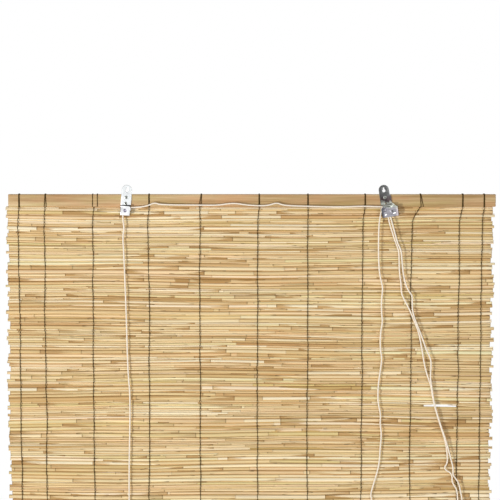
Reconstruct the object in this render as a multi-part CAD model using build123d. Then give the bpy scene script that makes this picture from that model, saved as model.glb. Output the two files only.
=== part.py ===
"""Reed roll-up blind: a mat of reed stems bound by twine between two laths.

A pulley bracket and a cord-lock bracket on the head rail carry the two lift cords.
Millimetres. +X is to the right seen from the room, +Y points to the wall, +Z is up.
The origin is midway between the two hanging holes, on the back of the hanger plates.
"""
from build123d import *
import math
import os
import random

# Laths at the top and the bottom of the mat
rail_length = 1000.0
rail_height = 26.0
rail_thickness = 8.0
rail_chamfer = 1.2
rail_below_hole = 7.0
rail_middle = -6.9

# Reed mat
mat_drop = 1248.0
reed_pitch = 7.5
reed_thickness = 7.0
reed_web = 1.2
reed_reach = 4.0
ragged_depth = 9.0
mat_left_shift = 3.8
lath_gap = 0.2
pitch_play_share = 0.22
crest_play_share = 0.2
gap_count = 11
gap_height = 1.4
gap_shortest = 30.0
gap_longest = 150.0
gap_margin = 60.0
wide_gap_middle = 394.4
wide_gap_drop = 412.5
wide_gap_length = 68.0
wide_gap_height = 3.6
mat_seed = 11

# Twine that binds the stems: shares of the two end fields and of the field between the hangers
thread_width = 1.2
thread_thickness = 0.8
thread_bend_share = 0.4
left_thread_shares = (0.09, 0.3245, 0.756)
middle_thread_shares = (0.0548, 0.2702, 0.508, 0.7183, 0.9476)
right_thread_shares = (0.805, 0.3463, 0.131)

# Hanger plates, measured from the hanging hole
hole_spacing = 526.4
hole_radius = 3.2
keyhole_width = 3.0
keyhole_rise = 7.0
sheet = 1.2
lug_radius = 10.5
lug_rise = 1.5
hanger_drop = 29.0
left_tilt = -4.5
right_tilt = 9.0

# Wood screws through both sheets into the head rail
screw_drop = 13.5
second_hole_drop = 26.0
screw_radius = 1.5
screw_hole_clearance = 0.2
screw_head_radius = 3.4
screw_head_height = 1.6
screw_bite = 6.0

# Folded sheets
bend_radius = 0.8
corner_radius = 3.0
tab_width = 21.0
tab_drop = 4.0
rivet_clearance = 0.05

# Left pulley and its box
pulley_drop = 40.6
pulley_radius = 7.0
pulley_floor = 3.0
pulley_width = 6.5
pulley_box_width = 20.0
pulley_box_height = 19.2
axle_radius = 1.8
axle_head_radius = 3.6
axle_head_height = 1.4
side_clearance = 0.3
running_clearance = 0.06

# Cord lock: places are measured from the middle of its housing
lock_drop = 44.0
lock_offset = 4.2
lock_tab_offset = 2.0
lock_left_reach = 15.8
lock_right_reach = 18.0
lock_height = 20.5
hood_drop = 27.9
hood_fall = 2.0
slit_width = 12.0
slit_height = 1.6
slit_left = 3.0
slit_drop = 33.0
sheave_radius = 7.2
sheave_floor = 4.7
sheave_width = 9.0
sheave_left = 9.6
sheave_up = 5.0
guide_radius = 1.5
guide_head_radius = 2.8
guide_left = 8.4
guide_down = 4.5
roller_radius = 6.0
roller_tooth = 0.7
roller_teeth = 14
roller_right = 9.2
roller_down = 3.6
lock_travel = 6.0
lock_slope = 135.0

# Cords, their knots and the staples that hold them behind the head rail
cord_diameter = 3.0
cord_sides = 6
cord_gap = 0.3
groove_width = 3.6
bend_share = 0.45
arc_slack = 0.05
pulley_lead = 1.5
knot_radius = 3.2
knot_height = 6.0
knot_sides = 8
knot_neck_share = 0.7
anchor_above_foot = 6.5
left_anchor_inset = 4.8
right_anchor_inset = 17.2
pull_knot_radius = 4.6
pull_knot_height = 10.0
pull_knot_neck_share = 0.8
staple_wire = 1.0
staple_height = 1.6
staple_leg = 5.0
staple_drop = 4.0

# Turned pieces as small as these are drawn with flat sides, which keeps them light
round_sides = 16

overrun = 20.0

# Levels and depths that several pieces share
rail_top = -rail_below_hole
rail_foot = rail_top - rail_height
mat_foot = rail_foot - mat_drop
foot_rail_foot = mat_foot - rail_height
mat_middle = rail_thickness / 2
mat_front = mat_middle - reed_thickness / 2
cord_radius = cord_diameter / 2
folded_back = -sheet
folded_front = -2 * sheet
left_anchor_x = left_anchor_inset - hole_spacing / 2
right_anchor_x = hole_spacing / 2 - right_anchor_inset
hanger_room = lug_radius + hanger_drop * math.sin(math.radians(right_tilt)) + thread_width


def raised(outline, back, thickness):
    """A flat outline, drawn as seen from the room, raised towards the room from a depth."""
    return extrude(Plane.XZ.offset(-back) * outline, amount=thickness)


def bar(radius, back, front):
    """A round bar along Y between two depths."""
    return raised(RegularPolygon(radius, round_sides), back, back - front)


def drill(place, radius, back, front):
    """A cutter along Y for a round hole through the sheets between two depths."""
    outline = Pos(*place) * RegularPolygon(radius, round_sides, major_radius=False)
    return raised(outline, back + overrun, back - front + 2 * overrun)


def lath(top):
    """A flat wooden lath with eased long edges."""
    blank = Box(rail_length, rail_thickness, rail_height)
    blank = chamfer(blank.edges().filter_by(Axis.X), rail_chamfer)
    return Pos(rail_middle, mat_middle, top - rail_height / 2) * blank


def reed_rows(draw):
    """Heights of the rows of stems, uneven as grown reed is, filling the drop."""
    count = round(mat_drop / reed_pitch)
    weights = [1 + draw.uniform(-pitch_play_share, pitch_play_share) for _ in range(count)]
    scale = (mat_drop - lath_gap) / sum(weights)
    levels = [rail_foot]
    for weight in weights:
        levels.append(levels[-1] - weight * scale)
    return levels


def stepped_end(side, levels, draw):
    """A cutter that trims each row of stems to its own length."""
    outside = side * (rail_length / 2 + reed_reach + overrun)
    points = [(outside, levels[0] + overrun)]
    for row, (top, foot) in enumerate(zip(levels, levels[1:])):
        end = side * (rail_length / 2 + reed_reach - draw.uniform(0, ragged_depth))
        top_end = top + overrun if row == 0 else top
        foot_end = foot - overrun if row == len(levels) - 2 else foot
        points += [(end, top_end), (end, foot_end)]
    points.append((outside, levels[-1] - overrun))
    outline = make_face(Polyline(*points, close=True))
    return raised(outline, mat_middle + overrun, 2 * overrun)


def reed_mat():
    """One wall of ridges, a ridge to each row of stems, with ragged ends and slits of light.

    It is drawn about its own middle. One slit is wide, where two stems bow apart.
    """
    draw = random.Random(mat_seed)
    levels = reed_rows(draw)
    front = []
    back = []
    for top, foot in zip(levels, levels[1:]):
        crest = reed_thickness / 2 * (1 - draw.uniform(0, crest_play_share))
        front += [(mat_middle - reed_web / 2, top), (mat_middle - crest, (top + foot) / 2)]
        back += [(mat_middle + reed_web / 2, top), (mat_middle + crest, (top + foot) / 2)]
    front.append((mat_middle - reed_web / 2, levels[-1]))
    back.append((mat_middle + reed_web / 2, levels[-1]))
    section = make_face(Plane.YZ * Polyline(*front, *reversed(back), close=True))
    half_width = rail_length / 2 + reed_reach
    wall = extrude(section, amount=half_width, both=True)
    cutters = [stepped_end(side, levels, draw) for side in (-1, 1)]
    inner = rail_length / 2 - gap_margin
    for number in range(gap_count):
        level = levels[2 + number * (len(levels) - 4) // gap_count]
        length = draw.uniform(gap_shortest, gap_longest)
        middle = draw.uniform(length / 2 - inner, inner - length / 2)
        slit = Pos(middle, level) * Rectangle(length, gap_height)
        cutters.append(raised(slit, mat_middle + overrun, 2 * overrun))
    level = min(levels, key=lambda height: abs(height - rail_foot + wide_gap_drop))
    half_length = wide_gap_length / 2
    half_height = wide_gap_height / 2
    lens = [
        (-half_length, 0),
        (-half_length / 2, half_height),
        (half_length / 2, half_height),
        (half_length, 0),
        (half_length / 2, -half_height),
        (-half_length / 2, -half_height),
    ]
    opening = Pos(wide_gap_middle, level) * make_face(Polyline(*lens, close=True))
    cutters.append(raised(opening, mat_middle + overrun, 2 * overrun))
    return Pos(rail_middle - mat_left_shift, 0, 0) * wall.cut(*[cutter.solid() for cutter in cutters])


def thread_outline(offset):
    """The loop of twine seen from the side, round both laths and close on the mat."""
    bend = thread_bend_share * reed_pitch
    near = -offset
    far = rail_thickness + offset
    near_mat = mat_front - offset
    far_mat = rail_thickness - mat_front + offset
    points = [
        (near, rail_top + offset),
        (near, rail_foot),
        (near_mat, rail_foot - bend),
        (near_mat, mat_foot + bend),
        (near, mat_foot),
        (near, foot_rail_foot - offset),
        (far, foot_rail_foot - offset),
        (far, mat_foot),
        (far_mat, mat_foot + bend),
        (far_mat, rail_foot - bend),
        (far, rail_foot),
        (far, rail_top + offset),
    ]
    return make_face(Plane.YZ * Polyline(*points, close=True))


def thread_places():
    """Places of the twine from left to right, clear of the hanger plates."""
    inner = hole_spacing / 2 - hanger_room
    left_end = rail_middle - rail_length / 2
    right_end = rail_middle + rail_length / 2
    clear = hole_spacing / 2 + hanger_room
    places = [left_end - (clear + left_end) * share for share in left_thread_shares]
    places += [2 * inner * share - inner for share in middle_thread_shares]
    places += [right_end - (right_end - clear) * share for share in right_thread_shares]
    return places


def binding_thread(place):
    """One loop of twine at its place along the rail."""
    loop = thread_outline(thread_thickness) - thread_outline(0)
    return Pos(place, 0, 0) * extrude(loop, amount=thread_width / 2, both=True)


def screw_holes(plate):
    """The plate with the two screw holes of every bracket."""
    for drop in (screw_drop, second_hole_drop):
        plate -= drill((0, -drop), screw_radius + screw_hole_clearance, 0, folded_front)
    return plate


def hanger_plate():
    """A strip with a round lug, a keyhole to hang by and two screw holes."""
    length = lug_rise + hanger_drop
    outline = Pos(0, lug_rise) * Circle(lug_radius)
    outline += Pos(0, lug_rise - length / 2) * Rectangle(2 * lug_radius, length)
    slot = keyhole_rise - keyhole_width / 2
    outline -= Circle(hole_radius)
    outline -= Pos(0, slot / 2) * Rectangle(keyhole_width, slot)
    outline -= Pos(0, slot) * Circle(keyhole_width / 2)
    return screw_holes(raised(outline, 0, sheet))


def folded_box(left, right, height, gap, wall_side):
    """A sheet folded to a U about a gap: a back leg, one side wall and a front leg."""
    closed, free = (left, right) if wall_side < 0 else (right, left)
    back = folded_back
    front = folded_front - gap - sheet
    wall = wall_side * closed
    tip = -wall_side * free
    points = [
        (tip, back),
        (wall, back),
        (wall, front),
        (tip, front),
        (tip, front + sheet),
        (wall - wall_side * sheet, front + sheet),
        (wall - wall_side * sheet, folded_front),
        (tip, folded_front),
    ]
    section = make_face(Polyline(*points, close=True))
    outer = [v for v in section.vertices() if abs(v.X - wall) < sheet / 2]
    section = fillet(outer, bend_radius + sheet)
    inner = [v for v in section.vertices() if abs(v.X - wall + wall_side * sheet) < sheet / 4]
    section = fillet(inner, bend_radius)
    box = Pos(0, 0, -height / 2) * extrude(section, amount=height)
    tips = box.edges().filter_by(Axis.Y).filter_by_position(Axis.X, tip - sheet, tip + sheet)
    return fillet(tips.group_by(Axis.Y)[0], corner_radius)


def tab(foot, middle):
    """The screw tab above a folded box, with a round top, down to a level."""
    crown = -tab_drop - tab_width / 2
    outline = Pos(middle, crown) * Circle(tab_width / 2)
    outline += Pos(middle, (crown + foot) / 2) * Rectangle(tab_width, crown - foot)
    return raised(outline, folded_back, sheet)


pulley_gap = pulley_width + 2 * side_clearance
lock_gap = sheave_width + 2 * side_clearance
pulley_depth = folded_front - pulley_gap / 2
lock_depth = folded_front - lock_gap / 2
cord_offset = cord_radius + cord_gap / 2
rear_depth = lock_depth + cord_offset
front_depth = lock_depth - cord_offset
pair_groove_width = 2 * groove_width

pulley_place = (0, -pulley_drop)
sheave_place = (lock_offset - sheave_left, sheave_up - lock_drop)
guide_place = (lock_offset - guide_left, -guide_down - lock_drop)
roller_place = (lock_offset + roller_right, -roller_down - lock_drop)
travel_way = (math.cos(math.radians(lock_slope)), math.sin(math.radians(lock_slope)))


def pulley_bracket():
    """The left bracket: a tab and a box open at the right, the top and the bottom."""
    half = pulley_box_width / 2
    box = folded_box(half, half, pulley_box_height, pulley_gap, -1)
    box = Pos(0, 0, -pulley_drop) * box
    bracket = tab(-pulley_drop, 0) + box
    bracket -= drill(pulley_place, axle_radius + rivet_clearance, 0, folded_front - pulley_gap)
    return screw_holes(bracket)


def lock_hood():
    """A bent sheet from the tab forward over the cords, down to the top of the front leg."""
    front = folded_front - lock_gap - sheet
    bend = -hood_drop - hood_fall
    foot = lock_height / 2 - lock_drop - sheet
    points = [
        (folded_front, -hood_drop),
        (front, bend),
        (front, foot),
        (front + sheet, foot),
        (front + sheet, bend - sheet),
        (folded_front, -hood_drop - sheet),
    ]
    section = make_face(Plane.YZ * Polyline(*points, close=True))
    hood = Pos(lock_tab_offset, 0, 0) * extrude(section, amount=tab_width / 2, both=True)
    corner = hood.edges().filter_by(Axis.X).sort_by(lambda edge: edge.center().Y - edge.center().Z)
    return fillet(corner[0], bend_radius + sheet)


def lock_housing():
    """The right bracket: a tab, a sloping shoulder, a hood and a wider box open at the left."""
    box = folded_box(lock_left_reach, lock_right_reach, lock_height, lock_gap, 1)
    box = Pos(lock_offset, 0, -lock_drop) * box
    top = lock_height / 2 - lock_drop
    shoulder = [
        (lock_tab_offset + tab_width / 2, -second_hole_drop),
        (lock_offset + lock_right_reach - bend_radius - sheet, top - sheet),
        (lock_tab_offset - tab_width / 2, top - sheet),
        (lock_tab_offset - tab_width / 2, -second_hole_drop),
    ]
    housing = tab(-lock_drop, lock_tab_offset) + box
    housing += raised(make_face(Polyline(*shoulder, close=True)), folded_back, sheet)
    housing += lock_hood()
    front = folded_front - lock_gap
    slit = Pos(lock_offset - slit_left, -slit_drop) * Rectangle(slit_width, slit_height)
    housing -= raised(slit, front + sheet / 4, overrun)
    housing -= drill(sheave_place, axle_radius + rivet_clearance, 0, front)
    housing -= drill(guide_place, guide_radius + rivet_clearance, 0, front)
    slot_radius = axle_radius + running_clearance
    slot_middle = [foot + way * lock_travel / 2 for foot, way in zip(roller_place, travel_way)]
    slot = Pos(*slot_middle) * Rot(0, 0, lock_slope) * SlotCenterToCenter(lock_travel, 2 * slot_radius)
    housing -= raised(slot, overrun, lock_gap + 2 * overrun)
    return screw_holes(housing)


def grooved_wheel(radius, floor, width, groove):
    """A moulded pulley about the Y axis with a square groove for the cord."""
    wheel = bar(radius, width / 2, -width / 2)
    wheel -= bar(radius + overrun, groove / 2, -groove / 2)
    wheel += bar(floor, groove / 2, -groove / 2)
    return wheel - raised(Circle(axle_radius + running_clearance), width / 2, width)


def rivet(radius, head_radius, gap):
    """A rivet through both legs of a folded box, flush behind and headed in front."""
    front = folded_front - gap - sheet
    return bar(radius, folded_back, front) + bar(head_radius, front, front - axle_head_height)


def lock_pin():
    """The roller's pin: it slides in both slots, with a head outside each leg."""
    back = folded_back + running_clearance
    front = folded_front - lock_gap - sheet - running_clearance
    pin = bar(axle_radius, back, front)
    pin += bar(guide_head_radius, back + sheet / 2, back)
    return pin + bar(guide_head_radius, front, front - axle_head_height)


def lock_roller():
    """A roller with teeth that bite the cords."""
    points = []
    for step in range(2 * roller_teeth):
        radius = roller_radius - roller_tooth * (step % 2)
        angle = math.pi * step / roller_teeth
        points.append((radius * math.cos(angle), radius * math.sin(angle)))
    length = lock_gap - 2 * side_clearance
    roller = raised(make_face(Polyline(*points, close=True)), length / 2, length)
    return roller - drill((0, 0), axle_radius + running_clearance, length / 2, -length / 2)


def bracket_screw():
    """A pan-headed wood screw, its head on the folded sheet and its shank in the rail."""
    shank = bar(screw_radius, screw_bite, folded_front)
    return shank + bar(screw_head_radius, folded_front, folded_front - screw_head_height)


left_frame = Location((-hole_spacing / 2, 0, 0), (0, -left_tilt, 0))
right_frame = Location((hole_spacing / 2, 0, 0), (0, -right_tilt, 0))
screw_frames = (
    left_frame * Pos(0, 0, -screw_drop),
    left_frame * Pos(0, 0, -second_hole_drop),
    right_frame * Pos(0, 0, -screw_drop),
)


def at(frame, place, depth):
    """A place of a bracket, given in the bracket's own frame, with a depth."""
    return frame * Pos(place[0], depth, place[1])


def staple(x):
    """A flat staple driven into the back of the head rail, over the cord's end."""
    half = cord_radius + cord_gap
    crown = anchor_depth + half
    leg_tip = rail_thickness - staple_leg
    points = [
        (half, leg_tip),
        (half, crown),
        (-half, crown),
        (-half, leg_tip),
        (-half - staple_wire, leg_tip),
        (-half - staple_wire, crown + staple_wire),
        (half + staple_wire, crown + staple_wire),
        (half + staple_wire, leg_tip),
    ]
    face = make_face(Polyline(*points, close=True))
    return Pos(x, 0, staple_level) * extrude(face, amount=staple_height)


def knot(radius, height, neck_share):
    """A tight overhand knot, drawn as a barrel that stands on its foot."""
    neck = radius * neck_share
    shoulder = 2 * (radius - neck)
    slope = math.degrees(math.atan2(radius - neck, shoulder))
    belly = extrude(RegularPolygon(radius, knot_sides), amount=height / 2 - shoulder)
    cap = extrude(belly.faces().sort_by(Axis.Z)[-1], amount=shoulder, taper=slope)
    half = belly + cap
    return Pos(0, 0, height / 2) * (half + mirror(half, Plane.XY))


anchor_depth = rail_thickness + knot_radius + cord_gap
anchor_level = rail_foot + anchor_above_foot
staple_level = anchor_level - staple_drop

# Where the cords meet the wheels
pulley_line = pulley_floor + cord_gap + cord_radius
sheave_line = sheave_floor + cord_gap + cord_radius
pulley_at = at(left_frame, pulley_place, pulley_depth).position
sheave_at = at(right_frame, sheave_place, lock_depth).position
roller_at = at(right_frame, roller_place, lock_depth).position
loop_foot = foot_rail_foot - cord_diameter - cord_gap

left_top = (pulley_at.X - pulley_line, pulley_depth, pulley_at.Z - pulley_lead)
left_lift_route = [
    left_top,
    (left_top[0], pulley_depth, -60.0),
    (-268.4, -5.2, -76.0),
    (-271.8, -4.8, -94.0),
    (-269.6, -4.4, -128.0),
    (-265.2, -4.0, -267.0),
    (-263.2, -3.8, -375.0),
    (-257.8, -3.8, -428.0),
    (-263.6, -4.0, -629.0),
    (left_anchor_x, -4.0, loop_foot),
    (left_anchor_x, anchor_depth, loop_foot),
    (left_anchor_x, anchor_depth, anchor_level),
]
right_top = (sheave_at.X - sheave_line, front_depth, sheave_at.Z - pulley_lead)
right_lift_route = [
    right_top,
    (right_top[0], front_depth, -56.0),
    (252.6, -7.6, -78.0),
    (253.0, -6.4, -120.0),
    (263.4, -4.6, -251.0),
    (258.0, -4.4, -310.0),
    (261.8, -4.2, -350.5),
    (254.4, -4.0, -424.0),
    (260.8, -3.9, -495.5),
    (257.4, -3.9, -567.0),
    (243.2, -3.9, -631.0),
    (right_anchor_x, -4.0, loop_foot),
    (right_anchor_x, anchor_depth, loop_foot),
    (right_anchor_x, anchor_depth, anchor_level),
]
rear_off = (sheave_at.X + sheave_line, rear_depth, sheave_at.Z - pulley_lead)
cross_route = [
    left_top,
    (left_top[0], pulley_depth, pulley_at.Z + pulley_line),
    (-244.0, -5.9, -33.2),
    (-204.0, -5.8, -26.4),
    (-112.0, -5.6, -29.6),
    (-60.0, -5.6, -26.6),
    (8.0, -5.5, -31.2),
    (44.0, -5.5, -25.8),
    (100.0, -5.5, -30.6),
    (rear_off[0], rear_depth, sheave_at.Z + sheave_line),
    rear_off,
]
pull_knot_at = (428.0, -5.0, -868.0)
rear_pull_route = [
    rear_off,
    (rear_off[0], rear_depth, -58.0),
    (281.6, -4.2, -88.0),
    (294.8, -3.6, -124.0),
    (295.8, -3.3, -166.5),
    (307.6, -3.3, -222.5),
    (328.2, -3.3, -271.5),
    (355.4, -3.3, -381.0),
    (384.8, -3.3, -491.0),
    (397.2, -3.3, -532.0),
    (399.4, -3.3, -573.5),
    (415.6, -3.4, -618.5),
    (423.4, -3.7, -680.5),
    (pull_knot_at[0] - cord_offset, pull_knot_at[1], -756.0),
    (pull_knot_at[0] - cord_offset, *pull_knot_at[1:]),
]
front_off = (sheave_at.X + sheave_line, front_depth, sheave_at.Z - pulley_lead)
front_pull_route = [
    right_top,
    (right_top[0], front_depth, sheave_at.Z + sheave_line),
    (front_off[0], front_depth, sheave_at.Z + sheave_line),
    (front_off[0], front_depth, -58.0),
    (285.6, -8.4, -92.0),
    (299.4, -7.6, -126.0),
    (303.2, -7.0, -172.5),
    (320.8, -6.8, -220.5),
    (327.2, -6.7, -269.0),
    (349.8, -6.7, -320.0),
    (362.8, -6.7, -360.5),
    (364.4, -6.7, -411.5),
    (395.4, -6.7, -526.0),
    (422.8, -6.6, -625.0),
    (431.2, -6.4, -682.5),
    (pull_knot_at[0] + cord_offset, pull_knot_at[1], -756.0),
    (pull_knot_at[0] + cord_offset, *pull_knot_at[1:]),
]


def cord(name, route, wheel_radii):
    """A cord as a plain tube of straight runs and tangent arcs.

    wheel_radii gives the arc at each corner that lies on a wheel.
    """
    points = [Vector(*point) for point in route]
    radii = []
    for corner, (a, b, c) in enumerate(zip(points, points[1:], points[2:]), start=1):
        half_turn = math.radians((b - a).get_angle(c - b)) / 2
        widest = bend_share * min((b - a).length, (c - b).length) / math.tan(half_turn)
        radii.append(wheel_radii.get(corner, widest))
    line = FilletPolyline(*points, radius=radii)
    section = Plane(line @ 0, z_dir=line % 0) * RegularPolygon(cord_radius, cord_sides)
    tube = sweep(section, path=line)
    share = tube.volume / (section.area * line.length)
    print(name, "length", round(line.length), "volume share", round(share, 4),
          "radii", [round(radius) for radius in radii])
    return tube


sheave_turn = sheave_line - arc_slack
pieces = {
    "head_rail": lath(rail_top),
    "bottom_rail": lath(mat_foot),
    "reed_mat": reed_mat(),
    "left_hanger_plate": left_frame * hanger_plate(),
    "right_hanger_plate": right_frame * hanger_plate(),
    "left_pulley_bracket": left_frame * pulley_bracket(),
    "left_pulley": at(left_frame, pulley_place, pulley_depth)
    * grooved_wheel(pulley_radius, pulley_floor, pulley_width, groove_width),
    "left_pulley_axle": at(left_frame, pulley_place, 0)
    * rivet(axle_radius, axle_head_radius, pulley_gap),
    "lock_housing": right_frame * lock_housing(),
    "lock_sheave": at(right_frame, sheave_place, lock_depth)
    * grooved_wheel(sheave_radius, sheave_floor, sheave_width, pair_groove_width),
    "sheave_axle": at(right_frame, sheave_place, 0) * rivet(axle_radius, axle_head_radius, lock_gap),
    "guide_pin": at(right_frame, guide_place, 0) * rivet(guide_radius, guide_head_radius, lock_gap),
    "lock_roller": at(right_frame, roller_place, lock_depth) * lock_roller(),
    "lock_pin": at(right_frame, roller_place, 0) * lock_pin(),
    "bracket_screws": Compound([(frame * bracket_screw()).solid() for frame in screw_frames]),
    "cord_staples": Compound([staple(x).solid() for x in (left_anchor_x, right_anchor_x)]),
    "anchor_knots": Compound([
        (Pos(x, anchor_depth, anchor_level) * knot(knot_radius, knot_height, knot_neck_share)).solid()
        for x in (left_anchor_x, right_anchor_x)
    ]),
    "pull_knot": Pos(*pull_knot_at) * Pos(0, 0, -pull_knot_height)
    * knot(pull_knot_radius, pull_knot_height, pull_knot_neck_share),
    "left_lift_cord": cord("left_lift_cord", left_lift_route, {}),
    "right_lift_cord": cord("right_lift_cord", right_lift_route, {}),
    "cross_cord": cord("cross_cord", cross_route, {
        1: pulley_line - arc_slack,
        len(cross_route) - 2: sheave_turn,
    }),
    "rear_pull_cord": cord("rear_pull_cord", rear_pull_route, {}),
    "front_pull_cord": cord("front_pull_cord", front_pull_route, {1: sheave_turn, 2: sheave_turn}),
}
for number, place in enumerate(thread_places(), start=1):
    pieces[f"binding_thread_{number:02d}"] = binding_thread(place)

os.makedirs("parts", exist_ok=True)
for name, piece in pieces.items():
    export_step(piece, f"parts/{name}.step")

for label, place in (("pulley", pulley_at), ("sheave", sheave_at), ("roller", roller_at)):
    print(label, "axis at", [round(value, 3) for value in place])
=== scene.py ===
# %% [markdown]
# # A reed roll-up blind
# The frame brings the measured pieces and the bodies that they ride on. Everything below is dressed
# over that frame, in metres, with +X to the right, +Y towards the wall and +Z up.

# %% Load the frame
import math
import random

import bpy
import numpy as np
from mathutils import Matrix, Vector


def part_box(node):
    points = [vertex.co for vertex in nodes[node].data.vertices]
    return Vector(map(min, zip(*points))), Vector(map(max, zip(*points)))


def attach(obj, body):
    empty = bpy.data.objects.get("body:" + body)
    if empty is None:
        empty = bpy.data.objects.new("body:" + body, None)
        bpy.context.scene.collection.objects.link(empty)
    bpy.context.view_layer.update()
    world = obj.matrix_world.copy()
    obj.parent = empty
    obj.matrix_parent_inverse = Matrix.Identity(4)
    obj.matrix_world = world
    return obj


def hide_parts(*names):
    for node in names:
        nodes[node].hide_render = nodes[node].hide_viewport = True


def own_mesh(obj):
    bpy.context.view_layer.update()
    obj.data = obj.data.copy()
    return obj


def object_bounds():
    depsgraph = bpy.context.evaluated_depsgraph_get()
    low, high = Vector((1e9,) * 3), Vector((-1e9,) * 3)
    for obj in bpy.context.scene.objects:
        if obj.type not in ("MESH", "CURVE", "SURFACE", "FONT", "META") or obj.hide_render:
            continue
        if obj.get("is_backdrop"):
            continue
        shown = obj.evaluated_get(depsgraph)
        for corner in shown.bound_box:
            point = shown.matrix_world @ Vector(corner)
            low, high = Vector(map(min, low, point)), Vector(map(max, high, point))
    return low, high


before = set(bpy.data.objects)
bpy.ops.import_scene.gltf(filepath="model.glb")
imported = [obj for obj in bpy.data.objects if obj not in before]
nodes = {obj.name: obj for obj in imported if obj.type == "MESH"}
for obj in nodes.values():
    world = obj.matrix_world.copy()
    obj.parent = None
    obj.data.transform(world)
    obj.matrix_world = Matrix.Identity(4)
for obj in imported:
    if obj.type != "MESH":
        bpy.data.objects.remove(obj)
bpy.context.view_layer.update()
print(len(nodes), "solids in the frame")

# %% [markdown]
# ## Helpers
# An operator in Blender works on whatever is selected, so the first tools select nothing or one piece
# only. The others add an object, add a shader node with its values in a single call, and turn faces
# outwards. They serve nearly every piece, so they come first.

# %% Helpers
def clear_selection():
    """Leaves edit mode and selects nothing."""
    if bpy.context.mode != "OBJECT":
        bpy.ops.object.mode_set(mode="OBJECT")
    bpy.ops.object.select_all(action="DESELECT")


def select_only(piece):
    """Selects one piece and makes it the active one."""
    clear_selection()
    piece.select_set(True)
    bpy.context.view_layer.objects.active = piece


def new_object(name, data):
    """Adds an object with this data to the scene."""
    made = bpy.data.objects.new(name, data)
    bpy.context.scene.collection.objects.link(made)
    return made


def shader_node(tree, kind, inputs=None, **settings):
    """Adds a node; an input is a value, or a socket to link from."""
    made = tree.nodes.new(kind)
    for key, value in settings.items():
        setattr(made, key, value)
    for key, value in (inputs or {}).items():
        if isinstance(value, bpy.types.NodeSocket):
            tree.links.new(value, made.inputs[key])
        else:
            made.inputs[key].default_value = value
    return made


def finish_smooth(piece, angle=35):
    """Turns the faces outwards and shades shallow edges smooth."""
    select_only(piece)
    bpy.ops.object.mode_set(mode="EDIT")
    bpy.ops.mesh.select_all(action="SELECT")
    bpy.ops.mesh.normals_make_consistent(inside=False)
    bpy.ops.object.mode_set(mode="OBJECT")
    bpy.ops.object.shade_smooth_by_angle(angle=math.radians(angle))


print("helpers ready")

# %% [markdown]
# ## Camera
# The head rail is one metre long and spans 488 of the 500 pixels, which sets the scale at the rail.
# The lines of twine close in by about two hundredths towards the foot of the picture, so the camera
# stands near and looks a little down.

# %% Camera
rail_length = 1.0
rail_pixels = 488
picture_pixels = 500
aim_right_pixels = -5.35
aim_up_pixels = -59.35
camera_distance = 2.4
camera_pitch = math.radians(3.6)
rail_above_aim = 0.1
sensor_width = 36.0

pixel = rail_length / rail_pixels
aim = Vector((aim_right_pixels * pixel, 0.0, aim_up_pixels * pixel))
rail_depth = camera_distance - rail_above_aim * math.sin(camera_pitch)
camera_data = bpy.data.cameras.new("photo_camera")
camera_data.sensor_width = sensor_width
camera_data.lens = sensor_width * rail_depth / (picture_pixels * pixel)
camera = new_object("photo_camera", camera_data)
look = Vector((0.0, math.cos(camera_pitch), -math.sin(camera_pitch)))
camera.location = aim - look * camera_distance
camera.rotation_euler = (math.radians(90) - camera_pitch, 0.0, 0.0)
bpy.context.scene.camera = camera
print("lens", round(camera_data.lens, 1), "mm")

# %% [markdown]
# ## Light and floor
# The cords throw their shadows up and to the right, so the main lamp stands low at the front left.
# The surround is a white room whose bright side is low and behind the viewer. The rest of it is
# dimmer, so the upper sides of the stems stay dark. Metal mirrors the room, and the camera sees
# plain white. A large lamp behind lights the back of the blind.

# %% Light and floor
bright_side = Vector((-0.2, -0.85, -0.45)).normalized()
white = (1.0, 1.0, 1.0, 1.0)
floor_size = 4.4
floor_middle = (0.0, -0.3, -1.42)

bpy.context.scene.view_settings.view_transform = "Standard"
world = bpy.data.worlds.new("white_surround")
bpy.context.scene.world = world
world.use_nodes = True
tree = world.node_tree
tree.nodes.clear()
light_path = shader_node(tree, "ShaderNodeLightPath")
direction = shader_node(tree, "ShaderNodeTexCoord")
facing = shader_node(tree, "ShaderNodeVectorMath", {
    0: direction.outputs["Generated"], 1: bright_side}, operation="DOT_PRODUCT")


def room_level(dim, bright):
    """How bright the room is in each direction, from its dim side to its bright side."""
    level = shader_node(tree, "ShaderNodeMapRange", {
        "Value": facing.outputs["Value"], "From Min": -0.2, "From Max": 0.85,
        "To Min": dim, "To Max": bright}, interpolation_type="SMOOTHSTEP")
    return level.outputs[0]


room_seen = shader_node(tree, "ShaderNodeMix", {
    "Factor": light_path.outputs["Is Glossy Ray"], "A": room_level(0.17, 0.52), "B": room_level(0.22, 1.0)})
room = shader_node(tree, "ShaderNodeBackground", {"Color": white, "Strength": room_seen.outputs["Result"]})
white_seen = shader_node(tree, "ShaderNodeBackground", {"Color": white, "Strength": 1.0})
surround = shader_node(tree, "ShaderNodeMixShader", {
    0: light_path.outputs["Is Camera Ray"], 1: room.outputs[0], 2: white_seen.outputs[0]})
shader_node(tree, "ShaderNodeOutputWorld", {"Surface": surround.outputs[0]})


def lamp(name, place, target, size, power):
    """A square soft lamp that faces a point."""
    data = bpy.data.lights.new(name, "AREA")
    data.size = size
    data.energy = power
    made = new_object(name, data)
    made.location = place
    made.rotation_euler = (Vector(target) - Vector(place)).to_track_quat("-Z", "Y").to_euler()
    print("lamp", name)


lamp("key_lamp", place=(-2.8, -3.4, -1.3), target=(0.0, 0.0, -0.35), size=0.4, power=122)
lamp("side_lamp", place=(1.6, -2.8, 0.3), target=(0.0, 0.0, -0.4), size=1.2, power=18)
lamp("rear_lamp", place=(0.9, 2.4, 0.2), target=(0.0, 0.0, -0.6), size=1.4, power=48)

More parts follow.
